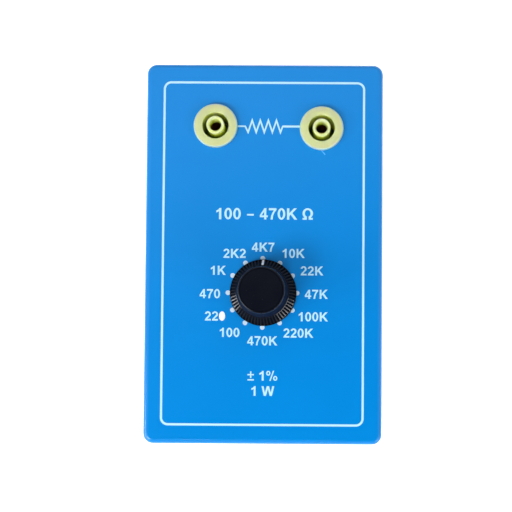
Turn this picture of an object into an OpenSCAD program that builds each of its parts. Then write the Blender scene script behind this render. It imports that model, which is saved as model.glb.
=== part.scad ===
// Resistance substitution box: a moulded case with two shrouded 4 mm sockets and a twelve-way
// rotary switch that picks one of twelve resistors. It stands on its feet with the face up.
// Origin: middle of the footprint, at table level. +Y points to the sockets' end.

/* [Case] */
// Width of the face
case_w = 81.4; // [80:0.1:100]
// Length of the face
case_l = 130.5; // [129:0.5:170]
// Height of the face above the table
case_h = 42; // [42:1:60]
// Thickness of the upright walls
wall_t = 2.5; // [2:0.1:2.8]
// Thickness of the face
face_t = 3; // [2.5:0.1:3]
// Radius of the upright corners at the face
corner_r = 3.4; // [3.2:0.1:6]
// Rounding of the edge round the face
face_edge_r = 1.8; // [0.8:0.1:2.2]
// How far each wall leans out from the face to the rim, so that the moulding leaves its tool
lean = 0.5; // [0.3:0.05:1]

/* [Base] */
// Thickness of the base cover
base_t = 2.5; // [2:0.1:3]
// Height of the rubber feet
foot_h = 2; // [2:0.5:4]
// Radius of the rubber feet
foot_r = 5; // [4:0.5:7]

/* [Sockets] */
// Left socket, distance from the middle across the face
left_socket_x = -16.8; // [-20:0.1:-14]
// Left socket, distance from the middle along the face
left_socket_y = 43.6; // [42:0.1:46]
// Right socket, distance from the middle across the face
right_socket_x = 19.6; // [14:0.1:22]
// Right socket, distance from the middle along the face
right_socket_y = 42.9; // [42:0.1:46]
// Radius of the socket's flange
flange_r = 7.5; // [7:0.1:8.5]
// Thickness of the socket's flange
flange_t = 1.7; // [1.2:0.1:2.5]
// Radius of the recess that takes the plug's sheath
recess_r = 4.55; // [4.4:0.05:4.8]
// Radius of the sleeve round the contact
sleeve_r = 3; // [2.9:0.05:3.2]
// Bore radius of the contact and of the sleeve over it, for a 4 mm plug
contact_bore_r = 2.05; // [2.01:0.01:2.1]

/* [Knob] */
// Dial centre, distance from the middle along the face
dial_y = -13.7; // [-16:0.1:-10]
// Radius of the knob at its foot
knob_r = 11.35; // [11.2:0.05:12.5]
// Radius where the flutes end
skirt_top_r = 8.9; // [8.7:0.05:9.5]
// Height of the fluted skirt
skirt_h = 7; // [6:0.1:8]
// Radius of the knob at its top
knob_top_r = 7.8; // [7.7:0.05:8.2]
// Height of the whole knob
knob_h = 16.4; // [15.5:0.1:18]
// Number of flutes round the skirt
flutes = 60; // [36:12:72]

/* [Switch] */
// Radius of the switch body
switch_r = 13; // [12.8:0.1:13.5]
// Radius of the shaft
shaft_r = 3; // [2.9:0.1:3.1]

/* [Hidden] */
$fn = 48;
EPS = 0.01;
WAYS = 12;
STEP = 360 / WAYS;
// First way, clockwise from the pointer's rest place, and the marks of the ways in that order
FIRST_WAY = -5;
VALUES = ["100", "220", "470", "1k", "2k2", "4k7", "10k", "22k", "47k", "100k", "220k", "470k"];

CASE_BLUE = "dodgerblue";
SOCKET_GREEN = [0.85, 0.9, 0.64];
KNOB_BLACK = [0.06, 0.06, 0.08];
MOULDED_BLACK = [0.12, 0.12, 0.13];
BRASS = [0.83, 0.68, 0.33];
TIN = [0.78, 0.78, 0.8];

// Levels of the case
rim_z = foot_h;
base_top_z = rim_z + base_t;
face_z = case_h;
ceiling_z = face_z - face_t;
rim_w = case_w + 2 * lean;
rim_l = case_l + 2 * lean;
rebate = wall_t / 2;
base_gap = 0.15;
base_w = rim_w - 2 * rebate - 2 * base_gap;
base_l = rim_l - 2 * rebate - 2 * base_gap;
rebate_corner_r = corner_r + lean - rebate;
cavity_w = case_w - 2 * wall_t;
cavity_l = case_l - 2 * wall_t;
cavity_corner_r = corner_r - wall_t;

// Screw bosses in the corners of the case
boss_r = 3.6;
boss_x = cavity_w / 2 - boss_r + 0.5;
boss_y = cavity_l / 2 - boss_r + 0.5;
pilot_r = 1.25;
screw_head_r = 2.8;
screw_head_h = screw_head_r - pilot_r;
screw_l = 12;
screw_hole_r = 1.6;
rib_t = 1.2;
rib_depth = 1.6;
rib_pitch = 30;
lip_t = 1.4;
lip_h = 2;
lip_gap = 0.25;

// Feet
foot_x = rim_w / 2 - 12;
foot_y = rim_l / 2 - 18;

// Levels of a socket
flange_edge_r = 0.45;
barrel_r = 6;
panel_hole_r = barrel_r + 0.1;
flange_z = face_z + flange_t;
sleeve_z = flange_z + 1;
sleeve_bevel = 0.4;
recess_floor_z = sleeve_z - 20;
barrel_z = recess_floor_z - 2.7;
contact_r = 2.5;
contact_z = sleeve_z - 6.6;
contact_floor_z = contact_z - 14;
contact_shoulder_z = barrel_z - 1;
stud_r = 1.6;
tag_t = 0.8;
tag_reach = 8;
tag_z = contact_shoulder_z - tag_t;
socket_nut_across = 15;
socket_nut_h = 3;

// Levels of the switch
bush_r = 4.95;
washer_t = 0.5;
panel_nut_across = 13;
panel_nut_h = 2.4;
bush_z = face_z + washer_t + panel_nut_h + 0.3;
plate_t = 1.6;
plate_z = ceiling_z - plate_t;
shaft_gap = 0.03;
housing_z = plate_z - 8.4;
wafer_t = 1.8;
wafer_z = housing_z - wafer_t;
track_r = 9.6;
ball_r = 1.5;
ball_at = track_r - ball_r - 0.05;
notch_r = 1.6;
notch_at = track_r - 0.7;
rotor_r = 9.3;
rotor_gap = 0.3;
rotor_z = housing_z + rotor_gap;
rotor_top_z = plate_z - rotor_gap;
detent_z = rotor_z + 2.3;
detent_hole_r = 1.55;
wiper_t = 0.24;
terminal_at = 8.2;
terminal_r = 0.5;
rivet_at = 11.8;
rivet_r = 0.7;
stop_at = 7.3;
stop_pin_r = 0.8;
stop_depth = 1.6;
stop_groove_gap = 0.3;
stop_tab_w = 2 * (stop_at * sin(STEP / 2) - stop_pin_r - 0.05);
lug_at = 9.3;
lug_r = 1.2;
lug_h = 1.8;
shaft_z = rotor_z + 5.1;
shaft_flat = shaft_r - 0.6;
clip_z = bush_z + 0.05;
clip_t = 0.4;
clip_groove_r = shaft_r - 0.5;

// Levels of the knob
knob_z = face_z + 0.8;
skirt_top_z = knob_z + skirt_h;
knob_top_z = knob_z + knob_h;
knob_edge_r = 0.5;
upper_foot_r = skirt_top_r - 0.15;
knob_foot_edge = 0.25;
foot_ring_h = 0.7;
skirt_foot_r = knob_r - knob_foot_edge;
skirt_lean = atan((skirt_foot_r - skirt_top_r) / (skirt_h - foot_ring_h));
skirt_slant = (skirt_h - foot_ring_h) / cos(skirt_lean);
flute_r = 0.42;
flute_out = 0.1;
flute_start = 0.12;
under_r = 8.3;
under_z = clip_z + clip_t + 0.3;
collet_r = 3.9;
collet_foot_r = 4.6;
collet_taper_h = 2.6;
collet_floor_z = knob_top_z - 5.1;
collet_thread_r = 3.4;
collet_nut_across = 8;
collet_nut_h = 2.2;
nut_well_r = 5.9;
cap_r = 7.15;
cap_t = 1.4;
shaft_top_z = collet_floor_z + 1.5;
pointer_w = 0.7;
pointer_t = 0.7;

// Circuit board and the parts on it
board_w = 62;
board_t = 1.6;
board_top_z = 24;
board_z = board_top_z - board_t;
board_corner = 4;
pin_hole_r = 0.6;
resistor_r = 1.6;
resistor_end_r = 1.8;
resistor_l = 9.5;
resistor_at = 21.8;
resistor_z = board_top_z + resistor_end_r;
resistor_span = 13.4;
leg_r = 0.35;
solder_h = 1;
solder_r = 1;

// Insulated leads, from the board up and over to the tag of each socket
wire_r = 0.65;
wire_sides = 8;
wire_steps = 5;
left_wire_route = [[-10, 14.5, 24], [-10, 14.5, 27], [-10.5, 16, 30], [-12, 21, 31.5],
    [-14.5, 28, 30.5], [-16.3, 33.5, 28], [-16.7, 35.3, 24.5], [-16.7, 35.5, 21]];
right_wire_route = [[10, 14.5, 24], [10, 14.5, 27], [10.8, 16, 30], [13.5, 21, 31.5],
    [17, 28, 30.5], [19.3, 33, 28], [19.7, 34.8, 24.5], [19.7, 35, 21]];

function resistor_name(way) = str("resistor_", VALUES[way]);
function way_angle(way) = 90 - (FIRST_WAY + way) * STEP;

// Quarter of a disc, for the rounded edge of a section
module quarter_disc(r) {
    intersection() {
        circle(r = r);
        square(r + 1);
    }
}

// Half of the section through a wall-to-wall block: its side leans out towards the bottom and its
// top edge is rounded
module half_section(reach, edge_r, low_z, high_z) {
    polygon([[0, low_z], [reach + lean, low_z], [reach, high_z - edge_r],
        [reach - edge_r, high_z - edge_r], [reach - edge_r, high_z], [0, high_z]]);
    if (edge_r > 0)
        translate([reach - edge_r, high_z - edge_r])
            quarter_disc(edge_r);
}

// The whole section, both sides of the middle
module full_section(reach, edge_r, low_z, high_z) {
    half_section(reach, edge_r, low_z, high_z);
    mirror([1, 0])
        half_section(reach, edge_r, low_z, high_z);
}

// Block with leaning walls, round upright corners and a rounded top edge
module drafted_block(w, l, upright_r, edge_r, low_z, high_z) {
    rotate([90, 0, 0])
        translate([0, 0, upright_r - l / 2])
            linear_extrude(l - 2 * upright_r)
                full_section(w / 2, edge_r, low_z, high_z);
    rotate([90, 0, 90])
        translate([0, 0, upright_r - w / 2])
            linear_extrude(w - 2 * upright_r)
                full_section(l / 2, edge_r, low_z, high_z);
    at_corners(w / 2 - upright_r, l / 2 - upright_r)
        rotate_extrude()
            half_section(upright_r, edge_r, low_z, high_z);
}

// Flat plate with round corners
module round_plate(w, l, r, low_z, high_z) {
    h = high_z - low_z;
    translate([0, 0, low_z + h / 2]) {
        cube([w - 2 * r, l, h], center = true);
        cube([w, l - 2 * r, h], center = true);
    }
    for (x = [-1, 1], y = [-1, 1])
        translate([x * (w / 2 - r), y * (l / 2 - r), low_z])
            cylinder(r = r, h = h);
}

module at_corners(x, y) {
    for (mx = [-1, 1], my = [-1, 1])
        translate([mx * x, my * y, 0])
            children();
}

module at_dial() {
    translate([0, dial_y, 0])
        children();
}

module ring(outer_r, inner_r, low_z, high_z) {
    translate([0, 0, low_z])
        difference() {
            cylinder(r = outer_r, h = high_z - low_z);
            translate([0, 0, -EPS])
                cylinder(r = inner_r, h = high_z - low_z + 2 * EPS);
        }
}

module hex_nut(across, inner_r, low_z, high_z) {
    translate([0, 0, low_z])
        difference() {
            cylinder(r = across / 2 / cos(30), h = high_z - low_z, $fn = 6);
            translate([0, 0, -EPS])
                cylinder(r = inner_r, h = high_z - low_z + 2 * EPS);
        }
}

// Deep moulding: face, walls, corner bosses, stiffening ribs and the holes for what the face holds
module case_shell() {
    color(CASE_BLUE)
    difference() {
        union() {
            difference() {
                drafted_block(case_w, case_l, corner_r, face_edge_r, rim_z, face_z);
                drafted_block(cavity_w, cavity_l, cavity_corner_r, 0, base_top_z - 1, ceiling_z);
            }
            at_corners(boss_x, boss_y)
                translate([0, 0, base_top_z])
                    cylinder(r = boss_r, h = ceiling_z - base_top_z + EPS);
            for (side = [-1, 1], row = [-1:1])
                translate([side * (cavity_w / 2 - rib_depth / 2 + 0.2), row * rib_pitch,
                        (ceiling_z + base_top_z + lip_h + 2) / 2])
                    cube([rib_depth + 0.4, rib_t, ceiling_z - base_top_z - lip_h - 2 + EPS], center = true);
        }
        round_plate(rim_w - 2 * rebate, rim_l - 2 * rebate, rebate_corner_r, rim_z - 1, base_top_z);
        at_corners(boss_x, boss_y)
            translate([0, 0, base_top_z - EPS])
                cylinder(r = pilot_r, h = screw_l + 3);
        socket_places()
            translate([0, 0, ceiling_z - 1])
                cylinder(r = panel_hole_r, h = face_t + 2);
        at_dial()
            translate([0, 0, ceiling_z - 1])
                cylinder(r = bush_r + 0.15, h = face_t + 2);
        at_dial()
            translate([0, -lug_at, ceiling_z - 1])
                cylinder(r = lug_r + 0.1, h = lug_h + 1.1);
    }
}

module socket_places() {
    translate([left_socket_x, left_socket_y, 0])
        children();
    translate([right_socket_x, right_socket_y, 0])
        children();
}

// Plate that closes the case from below, with a broken locating lip and countersunk holes
module base_cover() {
    lip_x = cavity_w / 2 + lean - lip_gap - lip_t / 2;
    lip_y = cavity_l / 2 + lean - lip_gap - lip_t / 2;
    color(CASE_BLUE)
    difference() {
        union() {
            round_plate(base_w, base_l, rebate_corner_r - base_gap, rim_z, base_top_z);
            for (side = [-1, 1]) {
                translate([side * lip_x, 0, base_top_z + lip_h / 2 - EPS])
                    cube([lip_t, 2 * boss_y - 3 * boss_r, lip_h], center = true);
                translate([0, side * lip_y, base_top_z + lip_h / 2 - EPS])
                    cube([2 * boss_x - 3 * boss_r, lip_t, lip_h], center = true);
            }
        }
        at_corners(boss_x, boss_y) {
            translate([0, 0, rim_z - 1])
                cylinder(r = screw_hole_r, h = base_t + 2);
            translate([0, 0, rim_z - EPS])
                cylinder(r1 = screw_head_r + 0.05, r2 = pilot_r + 0.05, h = screw_head_h);
        }
    }
}

// Countersunk self-tapping screw with a cross recess, head down
module base_screws() {
    slot_w = 0.7;
    slot_l = 3;
    slot_h = 1;
    color(TIN)
    at_corners(boss_x, boss_y)
        difference() {
            translate([0, 0, rim_z]) {
                cylinder(r1 = screw_head_r, r2 = pilot_r, h = screw_head_h);
                cylinder(r = pilot_r, h = screw_l);
            }
            for (turn = [0, 90])
                rotate(turn)
                    translate([0, 0, rim_z + slot_h / 2 - EPS])
                        cube([slot_l, slot_w, slot_h], center = true);
        }
}

// Round feet, tapered to the table, with a soft lower edge
module rubber_feet() {
    edge_r = 0.6;
    color("dimgray")
    at_corners(foot_x, foot_y)
        rotate_extrude() {
            polygon([[0, 0], [foot_r - 2 * edge_r, 0], [foot_r - 2 * edge_r, edge_r],
                [foot_r - edge_r, edge_r], [foot_r, foot_h], [0, foot_h]]);
            translate([foot_r - 2 * edge_r, edge_r])
                mirror([0, 1])
                    quarter_disc(edge_r);
        }
}

// Flange, shroud, centre sleeve and threaded barrel, moulded in one
module socket_body() {
    color(SOCKET_GREEN) {
        difference() {
            union() {
                translate([0, 0, face_z])
                    cylinder(r = flange_r, h = flange_t - flange_edge_r);
                translate([0, 0, face_z])
                    cylinder(r = flange_r - flange_edge_r, h = flange_t);
                translate([0, 0, flange_z - flange_edge_r])
                    rotate_extrude()
                        translate([flange_r - flange_edge_r, 0])
                            circle(r = flange_edge_r);
                translate([0, 0, barrel_z])
                    cylinder(r = barrel_r, h = face_z - barrel_z + EPS);
            }
            translate([0, 0, recess_floor_z])
                cylinder(r = recess_r, h = flange_z - recess_floor_z + 1);
            translate([0, 0, barrel_z - 1])
                cylinder(r = contact_r, h = recess_floor_z - barrel_z + 2);
        }
        difference() {
            translate([0, 0, recess_floor_z - EPS])
                cylinder(r = sleeve_r, h = sleeve_z - recess_floor_z + EPS);
            translate([0, 0, recess_floor_z - 1])
                cylinder(r = contact_r, h = contact_z - recess_floor_z + 1);
            translate([0, 0, contact_z - EPS])
                cylinder(r = contact_bore_r, h = sleeve_z - contact_z + 1);
            translate([0, 0, sleeve_z - sleeve_bevel])
                cylinder(r1 = contact_bore_r, r2 = contact_bore_r + sleeve_bevel, h = sleeve_bevel + EPS);
        }
    }
}

// Turned brass tube, blind, with a shoulder and a riveted stud for the tag
module socket_contact() {
    drill_tip_r = 0.2;
    rivet_head_r = 2.4;
    rivet_head_h = 0.7;
    color(BRASS)
    difference() {
        union() {
            translate([0, 0, contact_shoulder_z])
                cylinder(r = contact_r, h = contact_z - contact_shoulder_z);
            translate([0, 0, tag_z - rivet_head_h])
                cylinder(r = stud_r, h = tag_t + rivet_head_h + EPS);
            translate([0, 0, tag_z - rivet_head_h])
                cylinder(r1 = stud_r, r2 = rivet_head_r, h = rivet_head_h);
        }
        translate([0, 0, contact_floor_z])
            cylinder(r = contact_bore_r, h = contact_z - contact_floor_z + 1);
        translate([0, 0, contact_floor_z - 1])
            cylinder(r1 = drill_tip_r, r2 = contact_bore_r, h = 1 + EPS);
    }
}

module socket_nut() {
    color(SOCKET_GREEN)
    hex_nut(socket_nut_across, barrel_r, ceiling_z - socket_nut_h, ceiling_z);
}

// Tinned tag on the stud, with an arm for the lead
module socket_tag() {
    eye_r = 3;
    arm_w = 3.2;
    color(TIN)
    difference() {
        translate([0, 0, tag_z]) {
            cylinder(r = eye_r, h = tag_t);
            translate([-arm_w / 2, -tag_reach, 0])
                cube([arm_w, tag_reach, tag_t]);
            translate([0, -tag_reach, 0])
                cylinder(r = arm_w / 2, h = tag_t);
        }
        translate([0, 0, tag_z - 1])
            cylinder(r = stud_r, h = tag_t + 2);
    }
}

// Die-cast front plate of the switch, with its threaded bush, the lug that stops it turning in
// the face, and the pin between the last way and the first that stops the rotor
module switch_plate() {
    color(TIN)
    at_dial()
        difference() {
            union() {
                translate([0, 0, plate_z])
                    cylinder(r = switch_r, h = plate_t);
                translate([0, 0, plate_z])
                    cylinder(r = bush_r, h = bush_z - plate_z);
                translate([0, -lug_at, plate_z])
                    cylinder(r = lug_r, h = plate_t + lug_h);
                rotate(way_angle(-0.5))
                    translate([stop_at, 0, rotor_top_z - stop_depth + stop_groove_gap])
                        cylinder(r = stop_pin_r, h = plate_z - rotor_top_z + stop_depth);
            }
            translate([0, 0, plate_z - 1])
                cylinder(r = shaft_r + shaft_gap, h = bush_z - plate_z + 2);
            rivet_holes();
        }
}

module rivet_holes() {
    for (turn = [STEP / 2:90:359])
        rotate(turn)
            translate([rivet_at, 0, wafer_z - 1])
                cylinder(r = rivet_r, h = ceiling_z - wafer_z + 2);
}

// Cup with a notch for each way in its bore
module switch_housing() {
    color(MOULDED_BLACK)
    at_dial()
        difference() {
            ring(switch_r, track_r, housing_z, plate_z);
            for (way = [0:WAYS - 1])
                rotate(way * STEP)
                    translate([notch_at, 0, housing_z - 1])
                        cylinder(r = notch_r, h = plate_z - housing_z + 2);
            rivet_holes();
        }
}

// Insulating wafer that carries the terminals
module switch_wafer() {
    color("peru")
    at_dial()
        difference() {
            translate([0, 0, wafer_z])
                cylinder(r = switch_r, h = wafer_t);
            terminal_places()
                translate([0, 0, wafer_z - 1])
                    cylinder(r = terminal_r, h = wafer_t + 2);
            rivet_holes();
        }
}

module terminal_places() {
    children();
    for (way = [0:WAYS - 1])
        rotate(way * STEP)
            translate([terminal_at, 0, 0])
                children();
}

// Silvered pins through the wafer and the board, each with its solder joint
module switch_terminals() {
    color(TIN)
    at_dial()
        terminal_places() {
            translate([0, 0, board_z - solder_h])
                cylinder(r = terminal_r, h = wafer_z + wafer_t - board_z + solder_h);
            solder_joint(terminal_r);
        }
}

module solder_joint(leg) {
    translate([0, 0, board_z - solder_h])
        cylinder(r1 = leg, r2 = solder_r, h = solder_h);
}

module switch_rivets() {
    head_r = 1.1;
    head_h = 0.4;
    color(TIN)
    at_dial()
        for (turn = [STEP / 2:90:359])
            rotate(turn)
                translate([rivet_at, 0, 0]) {
                    translate([0, 0, wafer_z - head_h])
                        cylinder(r = rivet_r, h = ceiling_z - wafer_z + head_h);
                    translate([0, 0, wafer_z - head_h])
                        cylinder(r1 = rivet_r, r2 = head_r, h = head_h);
                }
}

// Toothed washer between the face and the nut
module lock_washer() {
    teeth = 12;
    color(TIN)
    at_dial()
        difference() {
            ring(6.6, bush_r + 0.05, face_z, face_z + washer_t);
            for (tooth = [0:teeth - 1])
                rotate(tooth * 360 / teeth)
                    translate([6.6, 0, face_z - EPS])
                        cylinder(r = 0.6, h = washer_t + 2 * EPS);
        }
}

module panel_nut() {
    color(TIN)
    at_dial()
        hex_nut(panel_nut_across, bush_r, face_z + washer_t, face_z + washer_t + panel_nut_h);
}

// Shaft end with the flat that drives the rotor, at a height of its own
module shaft_end(low_z, high_z) {
    difference() {
        translate([0, 0, low_z])
            cylinder(r = shaft_r, h = high_z - low_z);
        translate([shaft_flat, -shaft_r, low_z - 1])
            cube([shaft_r, 2 * shaft_r, high_z - low_z + 2]);
    }
}

module switch_shaft() {
    color(TIN)
    at_dial() {
        shaft_end(shaft_z, rotor_top_z + EPS);
        difference() {
            translate([0, 0, rotor_top_z])
                cylinder(r = shaft_r, h = shaft_top_z - rotor_top_z);
            ring(shaft_r + 1, clip_groove_r, clip_z, clip_z + clip_t);
        }
    }
}

// Open clip in the shaft's groove, which keeps the shaft from dropping out of the bush
module shaft_clip() {
    clip_r = 4.2;
    mouth = 3.4;
    color(TIN)
    at_dial()
        difference() {
            ring(clip_r, clip_groove_r, clip_z, clip_z + clip_t);
            translate([0, -mouth / 2, clip_z - 1])
                cube([clip_r + 1, mouth, clip_t + 2]);
        }
}

// Moulded rotor: the shaft seats in its top, the detent spring and balls in its cross hole, and
// the tab across its groove meets the stop pin at either end of the travel
module switch_rotor() {
    groove_half = stop_pin_r + stop_groove_gap;
    color("whitesmoke")
    at_dial()
        difference() {
            translate([0, 0, rotor_z])
                cylinder(r = rotor_r, h = rotor_top_z - rotor_z);
            shaft_end(shaft_z, rotor_top_z + 1);
            translate([0, -rotor_r - 1, detent_z])
                rotate([-90, 0, 0])
                    cylinder(r = detent_hole_r, h = 2 * rotor_r + 2);
            difference() {
                ring(stop_at + groove_half, stop_at - groove_half, rotor_top_z - stop_depth, rotor_top_z + 1);
                translate([-stop_tab_w / 2, 0, rotor_top_z - stop_depth - 1])
                    cube([stop_tab_w, rotor_r + 1, stop_depth + 3]);
            }
        }
}

module detent_balls() {
    color(TIN)
    at_dial()
        for (side = [-1, 1])
            translate([0, side * ball_at, detent_z])
                sphere(r = ball_r);
}

// Compression spring between the two balls
module detent_spring() {
    coil_r = 1.1;
    strand_r = 0.18;
    turns = 9;
    steps = 10;
    reach = ball_at - ball_r;
    turn_points = [for (i = [0:turns * steps])
        [coil_r * cos(i * 360 / steps),
         -reach + strand_r + i * (2 * reach - 2 * strand_r) / (turns * steps),
         coil_r * sin(i * 360 / steps)]];
    color(TIN)
    at_dial()
        translate([0, 0, detent_z])
            swept_tube(turn_points, strand_r, 5);
}

// Springy bronze arm under the rotor, from the common terminal to the way that the knob picks
module wiper_contact() {
    hub_r = 3.4;
    arm_w = 1.6;
    tip_r = 1.1;
    color(BRASS)
    at_dial()
        translate([0, 0, rotor_z - wiper_t]) {
            cylinder(r = hub_r, h = wiper_t);
            translate([-arm_w / 2, 0, 0])
                cube([arm_w, terminal_at, wiper_t]);
            translate([0, terminal_at, 0])
                cylinder(r = tip_r, h = wiper_t);
        }
}

// Section of the knob, from the hollow under it to the seat of the cap
module knob_section() {
    difference() {
        union() {
            polygon([[0, knob_z], [knob_r, knob_z], [knob_r, knob_z + foot_ring_h - knob_foot_edge],
                [skirt_foot_r, knob_z + foot_ring_h], [skirt_top_r, skirt_top_z], [upper_foot_r, skirt_top_z],
                [knob_top_r, knob_top_z - knob_edge_r],
                [knob_top_r - knob_edge_r, knob_top_z - knob_edge_r],
                [knob_top_r - knob_edge_r, knob_top_z], [0, knob_top_z]]);
            translate([knob_top_r - knob_edge_r, knob_top_z - knob_edge_r])
                quarter_disc(knob_edge_r);
        }
        translate([-1, knob_z - 1])
            square([under_r + 1, under_z - knob_z + 1]);
        polygon([[-1, under_z - EPS], [collet_foot_r, under_z - EPS],
            [collet_r, under_z + collet_taper_h], [collet_r, collet_floor_z - 0.8],
            [collet_thread_r, collet_floor_z - 0.8], [collet_thread_r, collet_floor_z],
            [nut_well_r, collet_floor_z], [nut_well_r, knob_top_z - cap_t],
            [cap_r, knob_top_z - cap_t], [cap_r, knob_top_z + 1], [-1, knob_top_z + 1]]);
    }
}

// Ball-nosed tools that lean with the skirt above its plain foot ring, one for each flute but the
// pointer's
module flute_tools() {
    reach = skirt_slant - flute_r - 0.2;
    for (i = [1:flutes - 1])
        rotate(90 + i * 360 / flutes)
            on_the_slant()
                translate([flute_out, 0, 0]) {
                    translate([0, 0, flute_start])
                        cylinder(r = flute_r, h = reach - flute_start, $fn = 16);
                    translate([0, 0, reach])
                        sphere(r = flute_r, $fn = 16);
                }
}

// Where the skirt's slant starts, with Z up along it and X out of it
module on_the_slant() {
    translate([skirt_foot_r, 0, knob_z + foot_ring_h])
        rotate([0, -skirt_lean, 0])
            children();
}

// The strip of the skirt that the pointer line fills
module pointer_strip(proud) {
    rotate(90)
        on_the_slant()
            translate([-pointer_t, -pointer_w / 2, -0.3])
                cube([pointer_t + proud, pointer_w, skirt_slant]);
}

// Fluted skirt and smooth upper wall, moulded in one
module knob_body() {
    color(KNOB_BLACK)
    at_dial()
        difference() {
            rotate_extrude()
                knob_section();
            flute_tools();
            pointer_strip(1);
        }
}

module knob_pointer() {
    color("white")
    at_dial()
        pointer_strip(0);
}

// Push-in cap over the collet nut
module knob_cap() {
    plug_h = 1.1;
    plug_t = 0.9;
    bevel = 0.2;
    color(KNOB_BLACK)
    at_dial() {
        translate([0, 0, knob_top_z - cap_t])
            cylinder(r = cap_r, h = cap_t - bevel);
        translate([0, 0, knob_top_z - bevel])
            cylinder(r1 = cap_r, r2 = cap_r - bevel, h = bevel);
        ring(nut_well_r, nut_well_r - plug_t, knob_top_z - cap_t - plug_h, knob_top_z - cap_t + EPS);
    }
}

// Split brass collet, drawn up into its taper by the nut
module knob_collet() {
    slit = 0.5;
    color(BRASS)
    at_dial()
        difference() {
            rotate_extrude()
                polygon([[0, under_z], [collet_foot_r, under_z], [collet_r, under_z + collet_taper_h],
                    [collet_r, collet_floor_z - 0.8], [collet_thread_r, collet_floor_z - 0.8],
                    [collet_thread_r, collet_floor_z + collet_nut_h + 0.2],
                    [0, collet_floor_z + collet_nut_h + 0.2]]);
            translate([0, 0, under_z - 1])
                cylinder(r = shaft_r, h = shaft_top_z - under_z + 1);
            for (turn = [0, 120, 240])
                rotate(turn)
                    translate([0, -slit / 2, under_z - 1])
                        cube([collet_foot_r + 1, slit, collet_floor_z - 1.5 - under_z + 1]);
        }
}

module collet_nut() {
    color(TIN)
    at_dial()
        hex_nut(collet_nut_across, collet_thread_r, collet_floor_z, collet_floor_z + collet_nut_h);
}

// Board on the switch's pins, with clipped corners
module circuit_board() {
    half = board_w / 2;
    color("darkgreen")
    at_dial()
        difference() {
            translate([0, 0, board_z])
                linear_extrude(board_t)
                    polygon([for (turn = [0:90:270], end = [-1, 1])
                        let (x = half, y = end * (half - board_corner))
                        [x * cos(turn) - y * sin(turn), x * sin(turn) + y * cos(turn)]]);
            terminal_places()
                translate([0, 0, board_z - 1])
                    cylinder(r = terminal_r, h = board_t + 2);
            for (way = [0:WAYS - 1], end = [-1, 1])
                rotate(way * STEP)
                    translate([resistor_at + end * resistor_span / 2, 0, board_z - 1])
                        cylinder(r = leg_r, h = board_t + 2);
        }
}

// One axial resistor lying along a radius of the dial, with its legs through the board
module resistor(way) {
    bulge_l = 2.2;
    color("lightsteelblue")
    at_dial()
        rotate(way_angle(way))
            translate([resistor_at, 0, resistor_z])
                rotate([0, 90, 0]) {
                    translate([0, 0, -resistor_l / 2])
                        cylinder(r = resistor_r, h = resistor_l);
                    for (end = [0, 180])
                        rotate([end, 0, 0])
                            translate([0, 0, resistor_l / 2 - bulge_l])
                                cylinder(r = resistor_end_r, h = bulge_l);
                }
    color(TIN)
    at_dial()
        rotate(way_angle(way))
            translate([resistor_at, 0, 0]) {
                translate([-resistor_span / 2, 0, resistor_z])
                    rotate([0, 90, 0])
                        cylinder(r = leg_r, h = resistor_span);
                for (end = [-1, 1])
                    translate([end * resistor_span / 2, 0, 0]) {
                        translate([0, 0, resistor_z])
                            sphere(r = leg_r);
                        translate([0, 0, board_z - solder_h])
                            cylinder(r = leg_r, h = resistor_z - board_z + solder_h);
                        solder_joint(leg_r);
                    }
            }
}

// Smooth curve through the points of a route
function curve_point(route, i, t) =
    let (last = len(route) - 1,
         a = route[max(i - 1, 0)],
         b = route[i],
         c = route[min(i + 1, last)],
         d = route[min(i + 2, last)])
    0.5 * (2 * b + (c - a) * t + (2 * a - 5 * b + 4 * c - d) * t * t + (3 * b - a - 3 * c + d) * t * t * t);
function smooth_route(route, steps) =
    concat([for (i = [0:len(route) - 2], s = [0:steps - 1]) curve_point(route, i, s / steps)],
           [route[len(route) - 1]]);
function unit(v) = v / norm(v);
function heading(points, i) =
    unit(points[min(i + 1, len(points) - 1)] - points[max(i - 1, 0)]);
function side_of(dir) = unit(cross(dir, abs(dir.x) < 0.9 ? [1, 0, 0] : [0, 1, 0]));

// Round tube along a list of points
module swept_tube(points, r, sides) {
    rings = len(points);
    vertices = [for (i = [0:rings - 1])
        let (dir = heading(points, i), u = side_of(dir), v = cross(dir, u))
        for (k = [0:sides - 1])
            points[i] + r * (u * cos(k * 360 / sides) + v * sin(k * 360 / sides))];
    walls = [for (i = [0:rings - 2], k = [0:sides - 1])
        [i * sides + k, i * sides + (k + 1) % sides, (i + 1) * sides + (k + 1) % sides, (i + 1) * sides + k]];
    ends = [[for (k = [sides - 1:-1:0]) k], [for (k = [0:sides - 1]) (rings - 1) * sides + k]];
    polyhedron(vertices, [for (face = concat(walls, ends)) [for (k = [len(face) - 1:-1:0]) face[k]]]);
}

module left_lead() {
    color("gold")
    swept_tube(smooth_route(left_wire_route, wire_steps), wire_r, wire_sides);
}

module right_lead() {
    color("gold")
    swept_tube(smooth_route(right_wire_route, wire_steps), wire_r, wire_sides);
}

module at_left_socket() {
    translate([left_socket_x, left_socket_y, 0])
        children();
}

module at_right_socket() {
    translate([right_socket_x, right_socket_y, 0])
        children();
}

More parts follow.
